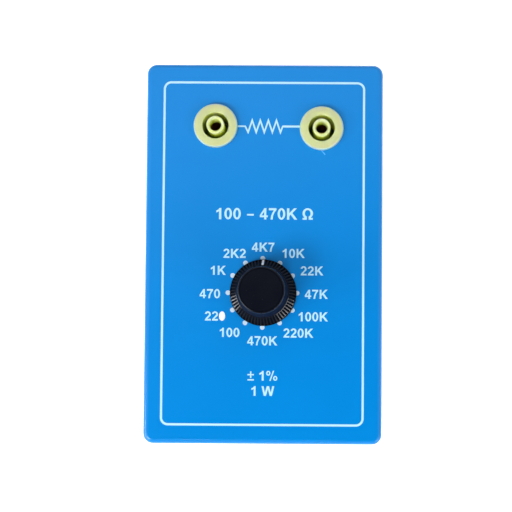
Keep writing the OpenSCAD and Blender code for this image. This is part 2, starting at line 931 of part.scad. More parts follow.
case_shell();
base_cover();
base_screws();
rubber_feet();
at_left_socket() socket_body();  // left_socket_body
at_left_socket() socket_contact();  // left_socket_contact
at_left_socket() socket_nut();  // left_socket_nut
at_left_socket() socket_tag();  // left_socket_tag
at_right_socket() socket_body();  // right_socket_body
at_right_socket() socket_contact();  // right_socket_contact
at_right_socket() socket_nut();  // right_socket_nut
at_right_socket() socket_tag();  // right_socket_tag
switch_plate();
switch_housing();
switch_wafer();
switch_terminals();
switch_rivets();
lock_washer();
panel_nut();
switch_shaft();
shaft_clip();
switch_rotor();
detent_spring();
detent_balls();
wiper_contact();
knob_body();
knob_pointer();
knob_cap();
knob_collet();
collet_nut();
circuit_board();
left_lead();
right_lead();
for (way = [0:WAYS - 1])
    resistor(way);
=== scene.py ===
import math

import bpy
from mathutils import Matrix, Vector


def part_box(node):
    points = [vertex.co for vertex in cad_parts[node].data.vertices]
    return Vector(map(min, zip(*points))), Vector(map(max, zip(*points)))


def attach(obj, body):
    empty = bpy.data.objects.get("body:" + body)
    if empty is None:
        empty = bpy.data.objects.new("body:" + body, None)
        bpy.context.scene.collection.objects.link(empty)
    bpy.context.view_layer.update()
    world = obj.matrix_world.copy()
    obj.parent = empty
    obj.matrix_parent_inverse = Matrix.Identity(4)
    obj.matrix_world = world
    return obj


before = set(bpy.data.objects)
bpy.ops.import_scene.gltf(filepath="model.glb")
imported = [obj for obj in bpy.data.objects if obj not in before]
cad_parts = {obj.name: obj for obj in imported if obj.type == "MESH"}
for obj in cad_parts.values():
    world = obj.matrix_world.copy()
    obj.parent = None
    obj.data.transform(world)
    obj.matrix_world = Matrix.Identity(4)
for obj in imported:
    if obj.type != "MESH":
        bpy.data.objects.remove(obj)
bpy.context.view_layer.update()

# Studio: the box lies on a backlit white table inside a white tent, and the camera looks down
# through the tent's opening. A soft lamp stands at the near left and a smaller one hangs above, to
# reach into the sockets. Three long strips lie low and draw the bright lines on the knob, and a
# weak lamp at the far side lifts the pointer line out of the knob's shade.


def linear(hex_colour):
    """The linear colour that shaders take, from an sRGB hex value."""
    parts = [int(hex_colour[i:i + 2], 16) / 255 for i in (1, 3, 5)]
    return [p / 12.92 if p <= 0.04045 else ((p + 0.055) / 1.055) ** 2.4 for p in parts] + [1.0]


def add(tree, kind, inputs=None, **settings):
    """Adds a node with its settings. An input takes a value, or a link from a given output."""
    made = tree.nodes.new(kind)
    for key, value in settings.items():
        setattr(made, key, value)
    for key, value in (inputs or {}).items():
        if isinstance(value, bpy.types.NodeSocket):
            tree.links.new(value, made.inputs[key])
        else:
            made.inputs[key].default_value = value
    return made


camera_data = bpy.data.cameras.new("camera")
camera = bpy.data.objects.new("camera", camera_data)
bpy.context.scene.collection.objects.link(camera)
bpy.context.scene.camera = camera
camera.location = (0.01771, -0.03796, 0.473)
camera.rotation_mode = "ZXY"
camera.rotation_euler = [math.radians(turn) for turn in (2.585, 0.353, 0.389)]
camera_data.sensor_width = 36
camera_data.lens = 88.85
camera_data.shift_x = -0.10
camera_data.shift_y = 0.10
camera_data.clip_start = 0.01

tent = bpy.data.worlds.new("tent")
tent.use_nodes = True
bpy.context.scene.world = tent
tent_tree = tent.node_tree
tent_way = add(tent_tree, "ShaderNodeTexCoord").outputs["Generated"]
opening_way = Vector((0.135, -0.338, 1.0)).normalized()
opening_core, opening_rim = math.radians(21), math.radians(35)
cloth_glow, opening_glow = 0.60, 0.02
towards_opening = add(tent_tree, "ShaderNodeVectorMath", {0: tent_way, 1: opening_way},
                      operation="DOT_PRODUCT")
tent_glow = add(tent_tree, "ShaderNodeMapRange", {
    "Value": towards_opening.outputs["Value"], "From Min": math.cos(opening_rim),
    "From Max": math.cos(opening_core), "To Min": cloth_glow, "To Max": opening_glow},
    interpolation_type="SMOOTHSTEP")
skirt_low, skirt_high, skirt_share = 0.05, 0.75, 0.3
tent_rise = add(tent_tree, "ShaderNodeSeparateXYZ", {0: tent_way})
tent_skirt = add(tent_tree, "ShaderNodeMapRange", {
    "Value": tent_rise.outputs["Z"], "From Min": skirt_low, "From Max": skirt_high,
    "To Min": skirt_share, "To Max": 1.0}, interpolation_type="SMOOTHSTEP")
tent_light = add(tent_tree, "ShaderNodeMath", {
    0: tent_glow.outputs["Result"], 1: tent_skirt.outputs["Result"]}, operation="MULTIPLY")
tent_cloth = tent_tree.nodes["Background"]
tent_cloth.inputs["Color"].default_value = linear("#ffffff")
tent_tree.links.new(tent_light.outputs[0], tent_cloth.inputs["Strength"])

lamp_distance = 1.0
lamps = {
    "soft_lamp": (224, 47, 0.32, 0.32, 3.85),
    "left_strip": (198, 24.5, 0.42, 0.16, 2.7),
    "right_strip": (323, 28.5, 0.76, 0.16, 2.7),
    "near_strip": (262, 9, 1.20, 0.16, 0.4),
    "top_lamp": (264, 63, 0.16, 0.16, 2.3),
    "far_fill": (80, 12, 0.80, 0.20, 1.5)}
for name, (bearing, height, width, depth, power) in lamps.items():
    lamp_data = bpy.data.lights.new(name, "AREA")
    lamp_data.shape = "RECTANGLE"
    lamp_data.size = width
    lamp_data.size_y = depth
    lamp_data.energy = power
    lamp = bpy.data.objects.new(name, lamp_data)
    bpy.context.scene.collection.objects.link(lamp)
    round_z, above = math.radians(bearing), math.radians(height)
    lamp_way = Vector((math.cos(above) * math.cos(round_z), math.cos(above) * math.sin(round_z),
                       math.sin(above)))
    lamp.location = lamp_distance * lamp_way
    lamp.rotation_euler = lamp_way.to_track_quat("Z", "Y").to_euler()
    lamp.visible_glossy = name not in ("top_lamp", "far_fill")

table_size = 60
bpy.ops.object.select_all(action="DESELECT")
bpy.ops.mesh.primitive_plane_add(size=table_size, location=(0, 0, 0))
table_top = bpy.context.object
table_top.name = "table_top"
table_paint = bpy.data.materials.new("matt_white_board")
table_paint.use_nodes = True
table_shader = table_paint.node_tree.nodes["Principled BSDF"]
table_shader.inputs["Base Color"].default_value = linear("#f8f8f9")
table_shader.inputs["Roughness"].default_value = 0.9
table_shader.inputs["Specular IOR Level"].default_value = 0.1
table_shader.inputs["Emission Color"].default_value = linear("#ffffff")
table_shader.inputs["Emission Strength"].default_value = 0.7
table_top.data.materials.append(table_paint)

bpy.context.scene.view_settings.view_transform = "Standard"

# Case: a deep box and the plate that closes it, moulded in blue ABS and fixed with four screws.
# The tool was spark-eroded, which leaves a fine satin grain, and handling has left faint hairlines.
# Grain and hairlines are drawn coarser than the real ones, so that they show.


def start_finish(name):
    """A new material: its node tree, its shader, and the place of a point on the object."""
    finish = bpy.data.materials.new(name)
    finish.use_nodes = True
    tree = finish.node_tree
    place = add(tree, "ShaderNodeTexCoord").outputs["Object"]
    return finish, tree, tree.nodes["Principled BSDF"], place


def dress(finish, *names):
    """Gives a finish to construction parts."""
    for name in names:
        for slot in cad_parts[name].material_slots:
            slot.material = finish


def per_mm(size):
    """Texture scale for a pattern whose features are that many millimetres apart."""
    return 1000 / size


def mottle(tree, place, size, detail, one, other):
    """A colour that wanders between two over a size in millimetres, and the noise that leads it."""
    lead = add(tree, "ShaderNodeTexNoise", {
        "Vector": place, "Scale": per_mm(size), "Detail": detail}).outputs["Fac"]
    tone = add(tree, "ShaderNodeMix", {0: lead, 6: linear(one), 7: linear(other)},
               data_type="RGBA").outputs[2]
    return tone, lead


abs_blue, tree, shader, place = start_finish("spark_eroded_abs")
hue, _ = mottle(tree, place, 30, 3, "#0083d6", "#0089dd")
tree.links.new(hue, shader.inputs["Base Color"])
hair_turn, hair_length, hair_pitch = 0.6, 17, 0.42
hair_way = add(tree, "ShaderNodeMapping", {
    "Vector": place, "Rotation": (0, 0, hair_turn),
    "Scale": (per_mm(hair_length), per_mm(hair_pitch), per_mm(hair_length))})
hairs = add(tree, "ShaderNodeTexNoise", {
    "Vector": hair_way.outputs["Vector"], "Scale": 1.0, "Detail": 1})
hairline = add(tree, "ShaderNodeMapRange", {
    "Value": hairs.outputs["Fac"], "From Min": 0.70, "From Max": 0.78,
    "To Min": 0.17, "To Max": 0.20})
tree.links.new(hairline.outputs["Result"], shader.inputs["Roughness"])
grain = add(tree, "ShaderNodeTexNoise", {"Vector": place, "Scale": per_mm(0.35), "Detail": 2})
sparks = add(tree, "ShaderNodeBump", {
    "Height": grain.outputs["Fac"], "Distance": 0.00001, "Strength": 0.2})
tree.links.new(sparks.outputs["Normal"], shader.inputs["Normal"])
shader.inputs["IOR"].default_value = 1.55
dress(abs_blue, "case_shell", "base_cover")

# Screws and other small steel pieces: zinc-plated steel. Four countersunk self-tapping screws are
# driven up into the corner bosses. The plating is bright, with a slightly clouded, faintly blue
# passivation.

zinc_plate, tree, shader, place = start_finish("zinc_plated_steel")
plating, cloud = mottle(tree, place, 2.5, 4, "#bcc4cf", "#d6d5cd")
tree.links.new(plating, shader.inputs["Base Color"])
sheen = add(tree, "ShaderNodeMapRange", {
    "Value": cloud, "From Min": 0.3, "From Max": 0.7, "To Min": 0.22, "To Max": 0.38})
tree.links.new(sheen.outputs["Result"], shader.inputs["Roughness"])
shader.inputs["Metallic"].default_value = 1.0
dress(zinc_plate, "base_screws", "lock_washer", "panel_nut", "switch_shaft", "shaft_clip",
      "detent_balls", "collet_nut")

# Feet: four moulded rubber buttons stuck under the base plate.
# The rubber is dull and slightly pitted, and picks up a little grey dust.

rubber, tree, shader, place = start_finish("moulded_rubber")
dusty, _ = mottle(tree, place, 3, 3, "#161617", "#2c2b2a")
tree.links.new(dusty, shader.inputs["Base Color"])
pits = add(tree, "ShaderNodeTexNoise", {"Vector": place, "Scale": per_mm(0.4), "Detail": 4})
pitted = add(tree, "ShaderNodeBump", {
    "Height": pits.outputs["Fac"], "Distance": 0.00003, "Strength": 0.5})
tree.links.new(pitted.outputs["Normal"], shader.inputs["Normal"])
shader.inputs["Roughness"].default_value = 0.78
dress(rubber, "rubber_feet")

# Sockets: flange, shroud and sleeve moulded in one from yellow-green polyamide, held by a nut of
# the same. The plastic is satin and lets a little light in. Its hollows are painted a brighter
# yellow as a painted glow of light, and the flange's rounded edge is painted pale green as a
# painted highlight.


def middle_of(name):
    """The middle of a construction part's box."""
    low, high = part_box(name)
    return (low + high) / 2


def about_axis(tree, place, axis):
    """A point's place about an upright axis, laid flat, and its distance from that axis."""
    centred = add(tree, "ShaderNodeMapping", {
        "Vector": place, "Location": (-axis.x, -axis.y, 0)}).outputs["Vector"]
    flat = add(tree, "ShaderNodeVectorMath", {0: centred, 1: (1, 1, 0)},
               operation="MULTIPLY").outputs["Vector"]
    out = add(tree, "ShaderNodeVectorMath", {0: flat}, operation="LENGTH").outputs["Value"]
    return flat, out


face_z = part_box("case_shell")[1].z
flange_top = face_z + 0.0017
painted_glow_depth = 0.0015
hollow_r = 0.0047
rim_highlight_from, rim_highlight_to = 0.0070, 0.0074
for side in ("left", "right"):
    polyamide, tree, shader, place = start_finish("moulded_polyamide_" + side)
    tint, _ = mottle(tree, place, 5, 4, "#e2f8a0", "#e8fdaa")
    _, out = about_axis(tree, place, middle_of(side + "_socket_contact"))
    level = add(tree, "ShaderNodeSeparateXYZ", {0: place}).outputs["Z"]
    # Painted glow: inside the hollows the colour turns a brighter yellow below the flange top,
    # painted light in place of light reaching into them.
    depth = add(tree, "ShaderNodeMapRange", {
        "Value": level, "From Min": flange_top, "From Max": flange_top - painted_glow_depth})
    within = add(tree, "ShaderNodeMath", {0: out, 1: hollow_r}, operation="LESS_THAN")
    painted_glow_mask = add(tree, "ShaderNodeMath", {0: depth.outputs["Result"], 1: within.outputs[0]},
                 operation="MULTIPLY")
    with_painted_glow = add(tree, "ShaderNodeMix", {0: painted_glow_mask.outputs[0], 6: tint, 7: linear("#f4ff84")},
                  data_type="RGBA")
    # Painted highlight: the flange's rounded edge is coloured pale green, a highlight painted into
    # the colour.
    edge = add(tree, "ShaderNodeMapRange", {
        "Value": out, "From Min": rim_highlight_from, "From Max": rim_highlight_to})
    painted_rim_highlight = add(tree, "ShaderNodeMix", {
        0: edge.outputs["Result"], 6: with_painted_glow.outputs[2], 7: linear("#a4eccb")},
        data_type="RGBA")
    tree.links.new(painted_rim_highlight.outputs[2], shader.inputs["Base Color"])
    skin = add(tree, "ShaderNodeTexNoise", {"Vector": place, "Scale": per_mm(0.3), "Detail": 2})
    peel = add(tree, "ShaderNodeBump", {
        "Height": skin.outputs["Fac"], "Distance": 0.000008, "Strength": 0.3})
    tree.links.new(peel.outputs["Normal"], shader.inputs["Normal"])
    shader.inputs["Roughness"].default_value = 0.5
    shader.inputs["IOR"].default_value = 1.5
    shader.inputs["Specular IOR Level"].default_value = 0.2
    shader.inputs["Subsurface Weight"].default_value = 1.0
    shader.inputs["Subsurface Radius"].default_value = (1.0, 1.0, 0.25)
    shader.inputs["Subsurface Scale"].default_value = 0.008
    dress(polyamide, side + "_socket_body", side + "_socket_nut")

# Socket contacts: blind tubes turned from brass bar, riveted to their tags.
# The tool leaves fine rings, and the metal has dulled a little. The wiper and the knob's collet
# get the same finish.

brass, tree, shader, place = start_finish("turned_brass")
patina, _ = mottle(tree, place, 1.6, 4, "#d8b25a", "#b48f45")
tree.links.new(patina, shader.inputs["Base Color"])
rings_way = add(tree, "ShaderNodeMapping", {"Vector": place, "Scale": (1, 1, per_mm(0.12))})
rings = add(tree, "ShaderNodeTexNoise", {
    "Vector": rings_way.outputs["Vector"], "Scale": 1.0, "Detail": 2})
turned = add(tree, "ShaderNodeBump", {
    "Height": rings.outputs["Fac"], "Distance": 0.000006, "Strength": 0.6})
tree.links.new(turned.outputs["Normal"], shader.inputs["Normal"])
shader.inputs["Metallic"].default_value = 1.0
shader.inputs["Roughness"].default_value = 0.3
dress(brass, "left_socket_contact", "right_socket_contact", "wiper_contact", "knob_collet")

# Tags, terminals and rivets: stamped brass, set in place and riveted over.
# They were dipped in tin, which leaves a soft grey mottled shine.

tin, tree, shader, place = start_finish("dipped_tin")
tinned, dip = mottle(tree, place, 0.9, 5, "#b9bab8", "#dcdcda")
tree.links.new(tinned, shader.inputs["Base Color"])
ripples = add(tree, "ShaderNodeBump", {"Height": dip, "Distance": 0.00002, "Strength": 0.4})
tree.links.new(ripples.outputs["Normal"], shader.inputs["Normal"])
shader.inputs["Metallic"].default_value = 1.0
shader.inputs["Roughness"].default_value = 0.34
dress(tin, "left_socket_tag", "right_socket_tag", "switch_terminals", "switch_rivets")

# Switch front: a plate and threaded bush, die-cast in zinc alloy.
# The casting skin is grey, finely pitted and only half bright.

cast_zinc, tree, shader, place = start_finish("die_cast_zinc")
grey, skin = mottle(tree, place, 0.5, 5, "#8d8f92", "#b5b6b7")
tree.links.new(grey, shader.inputs["Base Color"])
cast = add(tree, "ShaderNodeBump", {"Height": skin, "Distance": 0.00003, "Strength": 0.4})
tree.links.new(cast.outputs["Normal"], shader.inputs["Normal"])
shader.inputs["Metallic"].default_value = 1.0
shader.inputs["Roughness"].default_value = 0.48
dress(cast_zinc, "switch_plate")

# Switch cup: moulded in black glass-filled nylon, and riveted to the front with the wafer.
# Its fibres show as a fine dry speckle.

filled_nylon, tree, shader, place = start_finish("glass_filled_nylon")
speckle, fibres = mottle(tree, place, 0.25, 3, "#121213", "#222224")
tree.links.new(speckle, shader.inputs["Base Color"])
dry = add(tree, "ShaderNodeBump", {"Height": fibres, "Distance": 0.00001, "Strength": 0.5})
tree.links.new(dry.outputs["Normal"], shader.inputs["Normal"])
shader.inputs["Roughness"].default_value = 0.55
dress(filled_nylon, "switch_housing")

# Switch rotor: moulded in white acetal, with a seat for the flat end of the shaft.
# It is waxy and smooth, and a little greyed where the balls run.

acetal, tree, shader, place = start_finish("moulded_acetal")
waxy, grease = mottle(tree, place, 4, 3, "#e9e8e1", "#d9d8cf")
tree.links.new(waxy, shader.inputs["Base Color"])
smear = add(tree, "ShaderNodeMapRange", {
    "Value": grease, "From Min": 0.3, "From Max": 0.7, "To Min": 0.28, "To Max": 0.45})
tree.links.new(smear.outputs["Result"], shader.inputs["Roughness"])
dress(acetal, "switch_rotor")

# Switch wafer: punched from brown paper laminate bonded with phenolic resin.
# Flecks of fibre lie along the sheet.

laminate, tree, shader, place = start_finish("paper_laminate")
fleck_way = add(tree, "ShaderNodeMapping", {
    "Vector": place, "Scale": (per_mm(0.3), per_mm(1.5), per_mm(0.3))})
flecks = add(tree, "ShaderNodeTexNoise", {
    "Vector": fleck_way.outputs["Vector"], "Scale": 1.0, "Detail": 4})
paper = add(tree, "ShaderNodeMix", {
    0: flecks.outputs["Fac"], 6: linear("#6f4526"), 7: linear("#a8733f")}, data_type="RGBA")
tree.links.new(paper.outputs[2], shader.inputs["Base Color"])
shader.inputs["Roughness"].default_value = 0.5
dress(laminate, "switch_wafer")

# Circuit board: glass-epoxy under green solder mask. A track runs out from each switch pin to its
# resistor, and a broad ring joins the resistors' outer legs. The mask lies lighter over the
# copper.

dial = middle_of("switch_wafer")
ways = 12
track_start, track_end, track_half = 0.0078, 0.0158, 0.0006
bus_r, bus_half = 0.0285, 0.0012
side_slope, end_slope = 0.00015, 0.0002
board_mask, tree, shader, place = start_finish("solder_mask")
flat, out = about_axis(tree, place, dial)
split = add(tree, "ShaderNodeSeparateXYZ", {0: flat})
round_dial = add(tree, "ShaderNodeMath", {0: split.outputs["Y"], 1: split.outputs["X"]},
                 operation="ARCTAN2")
step = 2 * math.pi / ways
half_step_on = add(tree, "ShaderNodeMath", {0: round_dial.outputs[0], 1: step / 2},
                   operation="ADD")
nearest = add(tree, "ShaderNodeMath", {0: half_step_on.outputs[0], 1: step}, operation="SNAP")
off = add(tree, "ShaderNodeMath", {0: round_dial.outputs[0], 1: nearest.outputs[0]},
          operation="SUBTRACT")
across = add(tree, "ShaderNodeMath", {0: off.outputs[0], 1: out}, operation="MULTIPLY")
aside = add(tree, "ShaderNodeMath", {0: across.outputs[0]}, operation="ABSOLUTE")
track_width = add(tree, "ShaderNodeMapRange", {
    "Value": aside.outputs[0], "From Min": track_half, "From Max": track_half + side_slope,
    "To Min": 1, "To Max": 0})
before_end = add(tree, "ShaderNodeMapRange", {
    "Value": out, "From Min": track_end, "From Max": track_end + end_slope,
    "To Min": 1, "To Max": 0})
past_start = add(tree, "ShaderNodeMath", {0: out, 1: track_start}, operation="GREATER_THAN")
strips = add(tree, "ShaderNodeMath", {0: track_width.outputs[0], 1: before_end.outputs[0]},
             operation="MULTIPLY")
tracks = add(tree, "ShaderNodeMath", {0: strips.outputs[0], 1: past_start.outputs[0]},
             operation="MULTIPLY")
from_bus = add(tree, "ShaderNodeMath", {0: out, 1: bus_r}, operation="SUBTRACT")
bus_off = add(tree, "ShaderNodeMath", {0: from_bus.outputs[0]}, operation="ABSOLUTE")
bus = add(tree, "ShaderNodeMapRange", {
    "Value": bus_off.outputs[0], "From Min": bus_half, "From Max": bus_half + side_slope,
    "To Min": 1, "To Max": 0})
copper = add(tree, "ShaderNodeMath", {0: tracks.outputs[0], 1: bus.outputs[0]},
             operation="MAXIMUM")
bare, _ = mottle(tree, place, 0.6, 2, "#0c4a2c", "#125434")
masked = add(tree, "ShaderNodeMix", {0: copper.outputs[0], 6: bare, 7: linear("#2b8050")},
             data_type="RGBA")
tree.links.new(masked.outputs[2], shader.inputs["Base Color"])
raised = add(tree, "ShaderNodeBump", {
    "Height": copper.outputs[0], "Distance": 0.00004, "Strength": 0.8})
tree.links.new(raised.outputs["Normal"], shader.inputs["Normal"])
shader.inputs["Roughness"].default_value = 0.3
dress(board_mask, "circuit_board")

# Resistors: twelve one-watt metal-film resistors in a pale blue lacquer, with tinned copper legs.
# Four bands give each one's value and a brown one its tolerance, and all lie along radii of the
# dial, soldered through the board.

resistor_values = {
    "100": 100, "220": 220, "470": 470, "1k": 1000, "2k2": 2200, "4k7": 4700, "10k": 10000,
    "22k": 22000, "47k": 47000, "100k": 100000, "220k": 220000, "470k": 470000}
band_inks = ["#17120f", "#6b3a1c", "#b9271e", "#d8691f", "#e2c22b", "#3c8a3f", "#2b4fa0",
             "#7a3f92"]
one_percent = 1
lacquer_blue = linear("#8db9cf")
resistor_middle, resistor_length = 0.0218, 0.0095
leg_margin = 0.00001
band_width = 0.0007
band_starts = [-0.0037, -0.0021, -0.0008, 0.0005, 0.0029]
for label, ohms in resistor_values.items():
    digits = str(ohms)[:2] + "0"
    zeros = len(str(ohms)) - len(digits)
    codes = [int(digit) for digit in digits] + [zeros, one_percent]
    lacquer, tree, shader, place = start_finish("banded_lacquer_" + label)
    _, out = about_axis(tree, place, dial)
    along = add(tree, "ShaderNodeMapRange", {
        "Value": out, "From Min": resistor_middle - resistor_length / 2,
        "From Max": resistor_middle + resistor_length / 2})
    bands = add(tree, "ShaderNodeValToRGB", {"Fac": along.outputs[0]})
    stops = bands.color_ramp
    stops.interpolation = "CONSTANT"
    for end in stops.elements:
        end.color = lacquer_blue
    for start, code in zip(band_starts, codes):
        at = start / resistor_length + 0.5
        stops.elements.new(at).color = linear(band_inks[code])
        stops.elements.new(at + band_width / resistor_length).color = lacquer_blue
    from_middle = add(tree, "ShaderNodeMath", {0: out, 1: resistor_middle},
                      operation="SUBTRACT")
    reach = add(tree, "ShaderNodeMath", {0: from_middle.outputs[0]}, operation="ABSOLUTE")
    is_leg = add(tree, "ShaderNodeMath", {
        0: reach.outputs[0], 1: resistor_length / 2 + leg_margin}, operation="GREATER_THAN")
    colour = add(tree, "ShaderNodeMix", {
        0: is_leg.outputs[0], 6: bands.outputs["Color"], 7: linear("#cfcfcc")},
        data_type="RGBA")
    tree.links.new(colour.outputs[2], shader.inputs["Base Color"])
    tree.links.new(is_leg.outputs[0], shader.inputs["Metallic"])
    shader.inputs["Roughness"].default_value = 0.32
    dress(lacquer, "resistor_" + label)

# Leads: two copper wires in yellow PVC, bent by hand in an easy curve from the board to the tags
# and soldered at both ends. The covering is smooth and half glossy.

pvc, tree, shader, place = start_finish("soft_pvc")
yellow, _ = mottle(tree, place, 1.2, 3, "#e0b91c", "#edca35")
tree.links.new(yellow, shader.inputs["Base Color"])
shader.inputs["Roughness"].default_value = 0.42
dress(pvc, "left_lead", "right_lead")

# Detent spring: wound from hard-drawn steel wire, and pressed between the two balls in the rotor.
# The wire is bright and lightly oiled.

music_wire, tree, shader, place = start_finish("spring_wire")
wire_tone, _ = mottle(tree, place, 0.8, 3, "#8f9297", "#b9bbbe")
tree.links.new(wire_tone, shader.inputs["Base Color"])
shader.inputs["Metallic"].default_value = 1.0
shader.inputs["Roughness"].default_value = 0.25
dress(music_wire, "detent_spring")

# Knob: skirt and grip moulded in one from black ABS, with a push-in cap, on a brass collet. The
# top is polished and holds a few specks of dust. The side is dull, but fingers have rubbed the
# crests of the flutes bright. The wall above the skirt is painted navy, a painted reflection of the
# blue face.

knob_foot, knob_top = (corner.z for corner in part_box("knob_body"))
knob_height = knob_top - knob_foot
flute_foot, skirt_end = knob_foot + 0.0007, knob_foot + 0.007
skirt_foot_r, skirt_end_r = 0.0111, 0.0089
crest_depth, crest_full = 0.00004, 0.00001
top_zone = 0.0006
shine_start, shine_full = knob_top - 0.0008, knob_top - 0.0004
speck_size = 0.035
crest_tilt = 1.15
black_abs, tree, shader, place = start_finish("black_abs")
level = add(tree, "ShaderNodeSeparateXYZ", {0: place}).outputs["Z"]
height = add(tree, "ShaderNodeMapRange", {
    "Value": level, "From Min": knob_foot, "From Max": knob_top})
zones_and_painted_reflection = add(tree, "ShaderNodeValToRGB", {"Fac": height.outputs["Result"]})
zones_and_painted_reflection.color_ramp.interpolation = "CONSTANT"
zones_and_painted_reflection.color_ramp.elements[0].color = linear("#0b0c13")
zones_and_painted_reflection.color_ramp.elements[1].position = (skirt_end - knob_foot) / knob_height
# Painted reflection: the wall above the skirt is coloured navy in place of the blue face reflected
# in it.
zones_and_painted_reflection.color_ramp.elements[1].color = linear("#101324")
zones_and_painted_reflection.color_ramp.elements.new(1 - top_zone / knob_height).color = linear("#090d18")
specks = add(tree, "ShaderNodeTexVoronoi", {"Vector": place, "Scale": per_mm(1.8)})
speck = add(tree, "ShaderNodeMath", {0: specks.outputs["Distance"], 1: speck_size},
            operation="LESS_THAN")
dusted = add(tree, "ShaderNodeMix", {
    0: speck.outputs[0], 6: zones_and_painted_reflection.outputs["Color"], 7: linear("#3c3d44")}, data_type="RGBA")
tree.links.new(dusted.outputs[2], shader.inputs["Base Color"])
on_top = add(tree, "ShaderNodeMapRange", {
    "Value": level, "From Min": shine_start, "From Max": shine_full})
haze = add(tree, "ShaderNodeTexNoise", {"Vector": place, "Scale": per_mm(6), "Detail": 4})
hazed = add(tree, "ShaderNodeMapRange", {
    "Value": haze.outputs["Fac"], "From Min": 0.3, "From Max": 0.7,
    "To Min": 0.16, "To Max": 0.24})
matt = add(tree, "ShaderNodeMix", {
    0: on_top.outputs["Result"], 2: 0.5, 3: hazed.outputs["Result"]})
tree.links.new(matt.outputs[0], shader.inputs["Roughness"])
shine = add(tree, "ShaderNodeMapRange", {
    "Value": on_top.outputs["Result"], "To Min": 0.02, "To Max": 0.26})
tree.links.new(shine.outputs["Result"], shader.inputs["Specular IOR Level"])
_, out = about_axis(tree, place, dial)
on_flutes = add(tree, "ShaderNodeMath", {
    0: level, 1: (skirt_end + flute_foot) / 2, 2: (skirt_end - flute_foot) / 2},
    operation="COMPARE")
skirt_line = add(tree, "ShaderNodeMapRange", {
    "Value": level, "From Min": flute_foot, "From Max": skirt_end,
    "To Min": skirt_foot_r, "To Max": skirt_end_r})
proud = add(tree, "ShaderNodeMath", {0: out, 1: skirt_line.outputs["Result"]},
            operation="SUBTRACT")
crest = add(tree, "ShaderNodeMapRange", {
    "Value": proud.outputs[0], "From Min": -crest_depth, "From Max": -crest_full})
worn = add(tree, "ShaderNodeMath", {0: crest.outputs["Result"], 1: on_flutes.outputs[0]},
           operation="MULTIPLY")
tree.links.new(worn.outputs[0], shader.inputs["Coat Weight"])
shader.inputs["Coat Roughness"].default_value = 0.18
facing = add(tree, "ShaderNodeNewGeometry").outputs["Normal"]
turned_up = add(tree, "ShaderNodeVectorMath", {0: facing, 1: (0, 0, crest_tilt)},
                operation="ADD")
crest_facing = add(tree, "ShaderNodeVectorMath", {0: turned_up.outputs["Vector"]},
                   operation="NORMALIZE")
tree.links.new(crest_facing.outputs["Vector"], shader.inputs["Coat Normal"])
dress(black_abs, "knob_body", "knob_cap")

# Pointer: a groove down the skirt, filled by hand with white enamel.
# The enamel stands a little uneven.

enamel, tree, shader, place = start_finish("pointer_enamel")
white, brush = mottle(tree, place, 0.8, 3, "#f7f3ec", "#fffdf8")
tree.links.new(white, shader.inputs["Base Color"])
lumps = add(tree, "ShaderNodeBump", {"Height": brush, "Distance": 0.00002, "Strength": 0.4})
tree.links.new(lumps.outputs["Normal"], shader.inputs["Normal"])
shader.inputs["Roughness"].default_value = 0.35
dress(enamel, "knob_pointer")

# Print on the face: screen-printed in pale ink, bluish in the lines, where the film is thin, and
# greyer in the dots. A border runs round the face, a resistor's zigzag joins the sockets, and a dot
# and a value stand at each way.


def ink_film(name, thin, full):
    """Screen ink, whose colour wanders a little between that of a thin film and a full one."""
    ink, tree, shader, place = start_finish(name)
    film, _ = mottle(tree, place, 0.5, 3, thin, full)
    tree.links.new(film, shader.inputs["Base Color"])
    shader.inputs["Roughness"].default_value = 0.5
    return ink


line_ink = ink_film("screen_ink_lines", "#b2e2f9", "#c0eafd")
dot_ink = ink_film("screen_ink_dots", "#c4dcf0", "#d0e6f8")
blot_ink = ink_film("screen_ink_blot", "#f4f6fd", "#ffffff")
ink_thickness = 0.00003
print_shift = Vector((-0.17, 0.03))


def printed(name, outlines, ink):
    """A film of ink inside closed outlines, in millimetres from the middle of the print."""
    sheet = bpy.data.curves.new(name, "CURVE")
    sheet.dimensions = "2D"
    sheet.fill_mode = "BOTH"
    sheet.extrude = ink_thickness
    for outline in outlines:
        line = sheet.splines.new("POLY")
        line.points.add(len(outline) - 1)
        line.use_cyclic_u = True
        for point, (x, y) in zip(line.points, outline):
            point.co = ((x + print_shift.x) / 1000, (y + print_shift.y) / 1000, 0, 1)
    piece = bpy.data.objects.new(name, sheet)
    bpy.context.scene.collection.objects.link(piece)
    piece.location.z = face_z
    bpy.ops.object.select_all(action="DESELECT")
    piece.select_set(True)
    bpy.context.view_layer.objects.active = piece
    bpy.ops.object.convert(target="MESH")
    bpy.ops.object.transform_apply(location=True, rotation=True, scale=True)
    bpy.ops.object.mode_set(mode="EDIT")
    bpy.ops.mesh.select_all(action="SELECT")
    bpy.ops.mesh.remove_doubles(threshold=0.000001)
    bpy.ops.mesh.normals_make_consistent(inside=False)
    bpy.ops.object.mode_set(mode="OBJECT")
    piece.data.materials.append(ink)
    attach(piece, "case")


def arc(x, y, rx, ry, start, end, points):
    """Points along part of an ellipse, by angle in degrees."""
    turns = [math.radians(start + (end - start) * i / (points - 1)) for i in range(points)]
    return [(x + rx * math.cos(t), y + ry * math.sin(t)) for t in turns]


def oval(x, y, rx, ry, points=24):
    """A closed ellipse."""
    return arc(x, y, rx, ry, 0, 360 - 360 / points, points)


def round_frame(w, h, r):
    """A rectangle with round corners, about the middle."""
    corners = [(1, 1, 0), (-1, 1, 90), (-1, -1, 180), (1, -1, 270)]
    return [point for sx, sy, a in corners
            for point in arc(sx * (w / 2 - r), sy * (h / 2 - r), r, r, a, a + 90, 9)]


